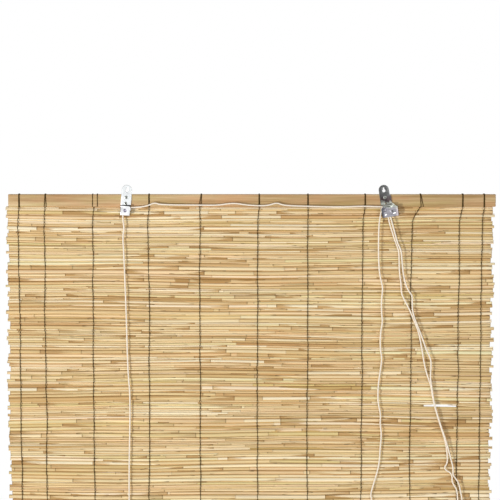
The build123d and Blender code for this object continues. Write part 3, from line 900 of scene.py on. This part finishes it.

# %% [markdown]
# ## Twine
# Two dark strands bind each line of stems. They cross between the rows, so each row shows one short
# stitch. On the laths they lie flat round the wood. The turns round the laths ride with each lath.

# %% Twine
twine_radius = 0.00070
twine_corner = 0.0009
strand_gap = 0.0004
stitch_slack = 1.05
wander_step = 0.00035
wander_kept = 0.9
lead_drop = 0.035
mat_leads = [0.002, 0.002, 0.0043, 0.002, 0.0, 0.004, 0.0, 0.004, 0.0180, 0.006, 0.004]
rail_turns = {
    1: [(0.0002, 0.0020), (0.0042, 0.0030)],
    2: [(0.0010, 0.0014), (0.0110, 0.0110)],
    4: [(-0.0018, 0.0022), (0.0024, 0.0034)],
    8: [(0.0185, 0.0168), (0.0232, 0.0180)],
}
weave = random.Random(5)
threads = sorted(name for name in nodes if name.startswith("binding_thread"))


def round_lath(x_near, x_far, box, open_foot):
    """A turn of twine round three sides of a lath, open at the mat's side."""
    low, high = box
    near, far = low.y - twine_radius, high.y + twine_radius
    shut = high.z + twine_radius if open_foot else low.z - twine_radius
    start = low.z if open_foot else high.z
    corner = twine_corner if open_foot else -twine_corner
    half_way = (start + shut) / 2
    lean = x_far - x_near
    return [(x_near, near, start), (x_near + lean * 0.5, near, half_way),
            (x_far, near, shut - corner), (x_far, near + twine_corner, shut),
            (x_far, far - twine_corner, shut), (x_far, far, shut - corner), (x_far, far, half_way),
            (x_near, far, start)]


head_lines, foot_lines, mat_lines = [], [], []
for number, name in enumerate(threads):
    low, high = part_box(name)
    place = (low.x + high.x) / 2
    shift = mat_leads[number]
    side_by_side = [(shift - 0.0008, shift - 0.0006), (shift + 0.0008, shift + 0.0006)]
    for near, far in rail_turns.get(number, side_by_side):
        head_lines.append(round_lath(place + near, place + far, (rail_low, rail_high), True))
    wander = 0.0
    strands = ([], [])
    for row in range(row_count):
        top, foot = levels[row], levels[row + 1]
        reach = min(flat_share * stitch_slack * (top - foot) / 2, deepest_stem) + twine_radius
        wander = wander_kept * wander + weave.gauss(0, wander_step)
        for share in (0.0, 0.25, 0.5, 0.75):
            z = top + (foot - top) * share
            bulge = reach * math.sin(math.pi * share) ** 0.6
            lead = shift * max(0.0, 1 - (rail_foot - z) / lead_drop) ** 1.5
            for side, strand_line in zip((-1, 1), strands):
                turn = side if row % 2 == 0 else -side
                x = place + wander + lead + turn * strand_gap * (1 - 2 * share)
                strand_line.append((x, mat_middle + turn * bulge, z + float(sway(x, z))))
    for strand_line in strands:
        strand_line.append((place + wander, mat_middle, levels[-1]))
        mat_lines.append(strand_line)
    foot_lines.append(round_lath(place + wander, place + wander, (foot_low, foot_high), False))

head_twine = tube(head_lines, "head_twine", twine_radius, 6)
foot_twine = tube(foot_lines, "foot_twine", twine_radius, 6)
mat_twine = tube(mat_lines, "mat_twine", twine_radius, 5)
for piece, body in ((head_twine, "head"), (mat_twine, "head"), (foot_twine, "bottom_bar")):
    piece.data.materials.append(twine_fibre)
    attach(piece, body)
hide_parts(*threads)
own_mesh(mat_twine)
print(len(mat_lines), "strands on the mat")

# %% [markdown]
# ## Wooden laths
# A lath is a planed strip of pine with eased edges. A box with all its edges rounded is enough, and
# the long streaks make the grain.

# %% Wooden laths
lath_edge = 0.0019

lath_pine, tree, shader = new_material("lath_pine", 0.55)
shader.inputs["Specular IOR Level"].default_value = 0.3
place = object_place(tree)
broad = effect_node(tree, streaks, Place=place, Along=3.0, Across=110.0)
narrow = effect_node(tree, streaks, Place=place, Along=14.0, Across=900.0)
grain = shader_node(tree, "ShaderNodeMix", {"Factor": 0.35, "A": broad, "B": narrow}, data_type="FLOAT")
pine = colour_ramp(tree, grain.outputs["Result"], [
    (0.36, (0.37, 0.205, 0.080)), (0.45, (0.49, 0.310, 0.140)), (0.54, (0.59, 0.405, 0.200)),
    (0.64, (0.69, 0.51, 0.28))])
zones = effect_node(tree, streaks, Place=place, Along=7.0, Across=45.0)
hue = colour_ramp(tree, zones, [
    (0.36, (0.92, 0.97, 0.84)), (0.5, (1.0, 1.0, 1.0)), (0.64, (1.08, 0.96, 0.96))])
tree.links.new(product(tree, pine, hue), shader.inputs["Base Color"])
relief(tree, shader, narrow, 0.15, 0.0003)


def rounded_box(name, middle, size, edge, segments, smooth):
    """A box with all its edges rounded."""
    clear_selection()
    bpy.ops.mesh.primitive_cube_add(size=1.0, location=middle, scale=size)
    piece = bpy.context.active_object
    piece.name = name
    bpy.ops.object.transform_apply(location=True, rotation=True, scale=True)
    bpy.ops.object.mode_set(mode="EDIT")
    bpy.ops.mesh.select_all(action="SELECT")
    bpy.ops.mesh.bevel(offset=edge, segments=segments, affect="EDGES")
    bpy.ops.object.mode_set(mode="OBJECT")
    finish_smooth(piece, smooth)
    return piece


def wooden_lath(name, node, body):
    """A lath in the place of its solid."""
    low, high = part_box(node)
    piece = rounded_box(name, (low + high) / 2, high - low, lath_edge, 3, 40)
    piece.data.materials.append(lath_pine)
    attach(piece, body)
    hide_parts(node)
    print("lath", name)


wooden_lath("head_lath", "head_rail", "head")
wooden_lath("foot_lath", "bottom_rail", "bottom_bar")

# %% [markdown]
# ## Metal
# Both brackets are zinc-plated sheet. The left one is bright and mirrors the white room. The right
# one is darker, partly from tarnish and partly from a painted reflection of a dim room, which its tilted
# sheet would mirror: dark grey at the lug, brown on the tab, paler on the box. On the box its left
# side is painted darker and its right side lighter, a painted shade and a painted highlight.

# %% Metal
bracket_foot = -0.050
bracket_top = 0.020
cloud_lift = 0.016
box_left = 0.256
box_right = 0.294
box_start = -0.0315
box_full = -0.0345


def zinc(name, tones, roughness, sides=None):
    """A plated metal: rolling streaks, and tones that change with the height on the bracket.

    sides gives tones from left to right for the right bracket's box: painted shade left, painted highlight
    right.
    """
    material, tree, shader = new_material(name, roughness, metallic=0.88)
    place = object_place(tree)
    rolled = effect_node(tree, streaks, Place=place, Along=1500.0, Across=120.0)
    clouds = shader_node(tree, "ShaderNodeTexNoise", {
        "Vector": place, "Scale": 110.0, "Detail": 2.0, "Roughness": 0.5})
    spot = split(tree, place)
    lifted = math_node(tree, "MULTIPLY_ADD", clouds.outputs["Fac"], cloud_lift, spot["Z"])
    plating_and_painted_light = colour_ramp(tree, mapped(tree, lifted, bracket_foot, bracket_top), tones)
    if sides:
        # Painted shade on the box's left side, painted highlight on its right.
        painted_side_light = colour_ramp(tree, mapped(tree, spot["X"], box_left, box_right), sides)
        on_box = mapped(tree, spot["Z"], box_start, box_full)
        plating_and_painted_light = product(tree, plating_and_painted_light, mixed(tree, on_box, white, painted_side_light))
    gain = mapped(tree, rolled, 0.3, 0.7, 0.88, 1.08)
    tree.links.new(scaled(tree, plating_and_painted_light, gain), shader.inputs["Base Color"])
    print("metal", name)
    return material


bright_zinc = zinc("bright_zinc", [(0.0, (0.92, 0.91, 0.93)), (0.6, (0.86, 0.89, 0.90))], 0.26)
# The right bracket's tones are partly tarnish and partly painted reflection; its box gets painted shade on
# the left and a painted highlight on the right.
grey_zinc = zinc("grey_zinc", [
    (0.0, (0.35, 0.335, 0.37)), (0.30, (0.33, 0.32, 0.35)), (0.37, (0.38, 0.40, 0.35)),
    (0.46, (0.36, 0.38, 0.33)), (0.53, (0.050, 0.036, 0.036)), (0.66, (0.065, 0.054, 0.056)),
    (0.74, (0.105, 0.107, 0.107))], 0.34, sides=[
    (0.0, (0.22, 0.23, 0.25)), (0.14, (0.42, 0.43, 0.45)), (0.25, (1.0, 1.0, 1.0)),
    (0.80, (1.0, 1.0, 1.0)), (0.87, (1.75, 1.62, 1.55))])
screw_steel = zinc("screw_steel", [(0.0, (0.50, 0.51, 0.47)), (0.6, (0.46, 0.48, 0.44))], 0.32)
rivet_steel = zinc("rivet_steel", [(0.0, (0.42, 0.40, 0.50)), (0.6, (0.42, 0.40, 0.48))], 0.3)
# Near-black painted shade, for faces inside a box, the sheet behind the slit and the screw recesses.
painted_inside_shade = zinc("painted_inside_shade", [(0.0, (0.05, 0.048, 0.045)), (0.6, (0.06, 0.06, 0.055))], 0.6)
# A darker tone for the rounded edges of the sheet: painted shade.
painted_edge_shade = zinc("painted_edge_shade", [(0.0, (0.20, 0.19, 0.19)), (0.6, (0.17, 0.17, 0.165))], 0.5)

# A pale, dull grey-green for the up-facing ledge of the lock's box.
pale_ledge_grey, tree, shader = new_material("pale_ledge_grey", 0.85)
specks = shader_node(tree, "ShaderNodeTexNoise", {
    "Vector": object_place(tree), "Scale": 700.0, "Detail": 3.0})
ledge_grey_tone = colour_ramp(tree, specks.outputs["Fac"], [(0.35, (0.50, 0.51, 0.44)), (0.65, (0.72, 0.73, 0.66))])
tree.links.new(ledge_grey_tone, shader.inputs["Base Color"])
print("finish", pale_ledge_grey.name)

# %% [markdown]
# ## Sheet brackets
# A stamped sheet has rounded edges, and these get a darker tone that is painted shade. Each piece is a
# copy of its solid with the edges rounded by an applied bevel. A face that looks straight at another
# face of the same sheet is inside a box, where little light reaches, and gets a near-black painted
# shade. The up-facing ledge at the top of the lock's box gets a pale, dull grey-green.

# %% Sheet brackets
plate_edge = 0.00048
weld_reach = 0.000002
box_levels = (-0.026, -0.029, -0.032, -0.035)
box_reach = 0.016
ray_lift = 0.00002
ledge_top = -0.026
ledge_foot = -0.034
edge_shade_index = 1
inside_shade_index = 2
pale_ledge_index = 3


def paint_shade_and_ledge(piece):
    """Paints shade on the rounded edges and inside a folded box, and a pale grey on the lock's ledge."""
    for finish in (painted_edge_shade, painted_inside_shade, pale_ledge_grey):
        piece.data.materials.append(finish)
    bpy.context.view_layer.update()
    for face in piece.data.polygons:
        hit = piece.ray_cast(face.center + face.normal * ray_lift, face.normal, distance=box_reach)[0]
        on_ledge = face.normal.z > 0.6 and ledge_foot < face.center.z < ledge_top
        if on_ledge and piece.name == "eased_lock_housing":
            face.material_index = pale_ledge_index
        # A face that sees its own sheet close by lies inside a box: painted shade.
        elif hit:
            face.material_index = inside_shade_index
        # A bevel face gets the darker painted edge shade.
        elif 0.1 < abs(face.normal.y) < 0.95:
            face.material_index = edge_shade_index


def eased_copy(name, node, body, width, material):
    """A copy of a solid with its loose triangles merged and its edges rounded."""
    mesh = nodes[node].data.copy()
    mesh.materials.clear()
    piece = new_object(name, mesh)
    select_only(piece)
    bpy.ops.object.mode_set(mode="EDIT")
    bpy.ops.mesh.select_all(action="SELECT")
    bpy.ops.mesh.remove_doubles(threshold=weld_reach)
    bpy.ops.mesh.dissolve_limited(angle_limit=math.radians(1))
    for level in box_levels:
        bpy.ops.mesh.select_all(action="SELECT")
        bpy.ops.mesh.bisect(plane_co=(0.0, 0.0, level), plane_no=(0.0, 0.0, 1.0))
    bpy.ops.object.mode_set(mode="OBJECT")
    rounding = piece.modifiers.new("rounding", "BEVEL")
    rounding.width = width
    rounding.segments = 2
    rounding.limit_method = "ANGLE"
    rounding.angle_limit = math.radians(50)
    bpy.ops.object.modifier_apply(modifier="rounding")
    finish_smooth(piece, 30)
    piece.data.materials.append(material)
    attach(piece, body)
    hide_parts(node)
    return piece


for node, material, slot in (
        ("left_hanger_plate", bright_zinc, "bright_zinc"),
        ("left_pulley_bracket", bright_zinc, "bright_zinc"),
        ("right_hanger_plate", grey_zinc, "grey_steel"),
        ("lock_housing", grey_zinc, "grey_steel")):
    made = eased_copy("eased_" + node, node, "head", plate_edge, material)
    paint_shade_and_ledge(made)
    print(made.name, len(made.data.polygons), "faces")

# %% [markdown]
# ## Shade sheet and staples
# A near-black sheet stands behind the slit in the lock's face, a painted shade that makes the slit look
# deep. It is a box with eased edges. The two staples at the back are copies of their solid, eased like
# the plates but by less, because the wire is thin.

# %% Shade sheet and staples
staple_edge = 0.0002

lock_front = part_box("lock_housing")[0].y
# The sheet behind the slit is near black: painted shade.
shade_sheet_middle = (0.2695, lock_front + 0.0014, -0.0330)
shade_sheet_size = (0.0150, 0.0004, 0.0036)
slit_shade_sheet = rounded_box("slit_shade_sheet", shade_sheet_middle, shade_sheet_size, edge=0.00012, segments=1, smooth=30)
slit_shade_sheet.data.materials.append(painted_inside_shade)
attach(slit_shade_sheet, "head")
eased_copy("eased_staples", "cord_staples", "head", staple_edge, screw_steel)
print("made", slit_shade_sheet.name, "and the staples")

# %% [markdown]
# ## Screws
# A pan-headed wood screw is turned, and a cross is cut into its head; the faces down in the cross
# get a near-black painted shade. It is made once and set three times, each turned to its own angle, as
# a hand leaves them.

# %% Screws
hole_x = 0.2632
left_tilt = 4.5
right_tilt = -9.0
upper_drop = 0.0135
lower_drop = 0.026
head_seat = -0.0024
screw_spins = (20, 65, -12)
cross_middle = (0.0, 0.0, 0.0013)
cross_arm = (0.0044, 0.0012, 0.0018)
recess_radius = 0.0023
recess_foot = 0.0003
recess_top = 0.00125

screw = turned("screw_master", [
    (0.0004, -0.0084), (0.0013, -0.0066), (0.0015, -0.0060), (0.0015, 0.0), (0.0034, 0.0),
    (0.0034, 0.0004), (0.0031, 0.0010), (0.0024, 0.0014), (0.0013, 0.0016)], sides=24)
clear_selection()
bpy.ops.mesh.primitive_cube_add(size=1.0, location=cross_middle, scale=cross_arm)
cross = bpy.context.active_object
bpy.ops.object.duplicate()
bpy.ops.transform.rotate(value=math.radians(90), orient_axis="Z", center_override=cross_middle)
cross.select_set(True)
bpy.ops.object.join()
cutter = bpy.context.active_object
recess = screw.modifiers.new("recess", "BOOLEAN")
recess.operation = "DIFFERENCE"
recess.object = cutter
recess.solver = "EXACT"
recess.use_self = True
select_only(screw)
bpy.ops.object.modifier_apply(modifier="recess")
bpy.data.objects.remove(cutter)
# Faces down in the cross recess get the near-black painted shade.
for face in screw.data.polygons:
    if face.center.to_2d().length < recess_radius and recess_foot < face.center.z < recess_top:
        face.material_index = 1


def face_room(piece, place):
    """Turns a piece about Z to face the room and puts it at its place, in its mesh."""
    piece.data.transform(Matrix.Translation(place) @ Matrix.Rotation(math.radians(90), 4, "X"))
    return piece


def screw_hole(x, tilt, drop, depth):
    """The place of a screw hole on a bracket that hangs a little out of upright."""
    turn = math.radians(tilt)
    return (x - drop * math.sin(turn), depth, -drop * math.cos(turn))


screw_places = [
    screw_hole(-hole_x, left_tilt, upper_drop, head_seat),
    screw_hole(-hole_x, left_tilt, lower_drop, head_seat),
    screw_hole(hole_x, right_tilt, upper_drop, head_seat),
]
for number, (place, spin) in enumerate(zip(screw_places, screw_spins), start=1):
    mesh = screw.data.copy()
    mesh.transform(Matrix.Rotation(math.radians(spin), 4, "Z"))
    piece = new_object(f"cross_screw_{number}", mesh)
    face_room(piece, place)
    finish_smooth(piece, 30)
    piece.data.materials.append(screw_steel)
    piece.data.materials.append(painted_inside_shade)
    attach(piece, "head")
    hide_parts("bracket_screws")
bpy.data.objects.remove(screw)
print(len(screw_places), "screws")

# %% [markdown]
# ## Empty screw hole
# The right bracket's lower hole has no screw, and shows the hole bored in the lath behind it. A hole
# cut into the lath would need fine faces there, so a small near-black cup sits in the hole instead: a
# painted shade for the hole's depth.

# %% Empty screw hole
# Near-black: painted shade of a deep hole.
painted_hole_shade, tree, shader = new_material("painted_hole_shade", 0.9)
bored_grain = effect_node(tree, streaks, Place=object_place(tree), Along=30.0, Across=900.0)
bored_shade = colour_ramp(tree, bored_grain, [(0.4, (0.008, 0.006, 0.004)), (0.6, (0.02, 0.014, 0.008))])
tree.links.new(bored_shade, shader.inputs["Base Color"])
pilot_hole = turned("pilot_hole", [
    (0.00165, -0.0012), (0.00165, 0.0004), (0.0013, 0.0004), (0.0011, -0.0008)], sides=20)
face_room(pilot_hole, screw_hole(hole_x, right_tilt, lower_drop, 0.0))
pilot_hole.data.materials.append(painted_hole_shade)
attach(pilot_hole, "head")
print("made", pilot_hole.name)

# %% [markdown]
# ## Rivets and pins
# The heads of the axles and pins catch the light on the brackets' faces. All are turned. The left
# rivet is hollow, as a tubular rivet is, and the others are domed.

# %% Rivets and pins
def fit(piece, place, body, node, material):
    """Sets a turned piece at its place, facing the room, for its solid."""
    face_room(piece, place)
    piece.data.materials.append(material)
    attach(piece, body)
    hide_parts(node)


def middle_of(node):
    """The middle of a solid's box."""
    low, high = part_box(node)
    return (low + high) / 2


left_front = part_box("left_pulley_bracket")[0].y
left_axis = middle_of("left_pulley")
sheave_axis = middle_of("lock_sheave")
guide_axis = middle_of("guide_pin")
roller_axis = middle_of("lock_pin")

tubular = turned("tubular_rivet", [
    (0.0018, -0.0095), (0.0018, 0.0), (0.0036, 0.0), (0.0036, 0.0005), (0.0032, 0.0011), (0.0026, 0.0014),
    (0.0019, 0.0011), (0.0016, 0.0002), (0.0014, -0.0012)], sides=28)
fit(tubular, (left_axis.x, left_front, left_axis.z), "head", "left_pulley_axle", rivet_steel)
domed = turned("domed_axle", [
    (0.0018, -0.0120), (0.0018, 0.0), (0.0036, 0.0), (0.0035, 0.0005), (0.0030, 0.0010), (0.0020, 0.0013),
    (0.0008, 0.0014)], sides=28)
fit(domed, (sheave_axis.x, lock_front, sheave_axis.z), "head", "sheave_axle", grey_zinc)
guide = turned("domed_guide_pin", [
    (0.0015, -0.0120), (0.0015, 0.0), (0.0028, 0.0), (0.0027, 0.0005), (0.0022, 0.0010), (0.0014, 0.0013),
    (0.0006, 0.0014)], sides=24)
fit(guide, (guide_axis.x, lock_front, guide_axis.z), "head", "guide_pin", bright_zinc)
pin = turned("turned_lock_pin", [
    (0.0028, 0.00054), (0.0028, 0.00114), (0.0018, 0.00114), (0.0018, 0.01326), (0.0028, 0.01326),
    (0.0027, 0.0138), (0.0022, 0.0143), (0.0012, 0.0146)], sides=24)
fit(pin, (roller_axis.x, 0.0, roller_axis.z), "sliding_pin", "lock_pin", bright_zinc)

print("rivets and pins fitted")

# %% [markdown]
# ## Wheels and roller
# The wheels inside the boxes are grey plastic with a square groove for the cord. They are turned and
# bored. The toothed roller keeps its solid shape, because its teeth are already there.

# %% Wheels and roller
wheel_nylon, tree, shader = new_material("wheel_nylon", 0.45)
flow = shader_node(tree, "ShaderNodeTexNoise", {
    "Vector": object_place(tree), "Scale": 240.0, "Detail": 2.0})
nylon = colour_ramp(tree, flow.outputs["Fac"], [(0.35, (0.22, 0.22, 0.23)), (0.65, (0.28, 0.28, 0.29))])
tree.links.new(nylon, shader.inputs["Base Color"])

left_wheel = turned("grooved_left_wheel", [
    (0.00186, -0.00325), (0.0066, -0.00325), (0.0070, -0.0029), (0.0070, -0.0018), (0.0031, -0.0018),
    (0.0030, 0.0), (0.0031, 0.0018), (0.0070, 0.0018), (0.0070, 0.0029), (0.0066, 0.00325),
    (0.00186, 0.00325)], sides=32, bored=True)
fit(left_wheel, left_axis, "left_wheel", "left_pulley", wheel_nylon)
right_wheel = turned("grooved_lock_sheave", [
    (0.00186, -0.0045), (0.0068, -0.0045), (0.0072, -0.0042), (0.0072, -0.0036), (0.0048, -0.0036),
    (0.0047, 0.0), (0.0048, 0.0036), (0.0072, 0.0036), (0.0072, 0.0042), (0.0068, 0.0045),
    (0.00186, 0.0045)], sides=32, bored=True)
fit(right_wheel, sheave_axis, "right_wheel", "lock_sheave", wheel_nylon)

roller = nodes["lock_roller"]
roller.data.materials.clear()
roller.data.materials.append(wheel_nylon)
print("wheels and roller fitted")

# %% [markdown]
# ## Size and finish
# The box of the dressed model is printed.

# %% Size and finish
low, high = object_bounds()
print("visual box", [round(value, 4) for value in (*low, *high)])
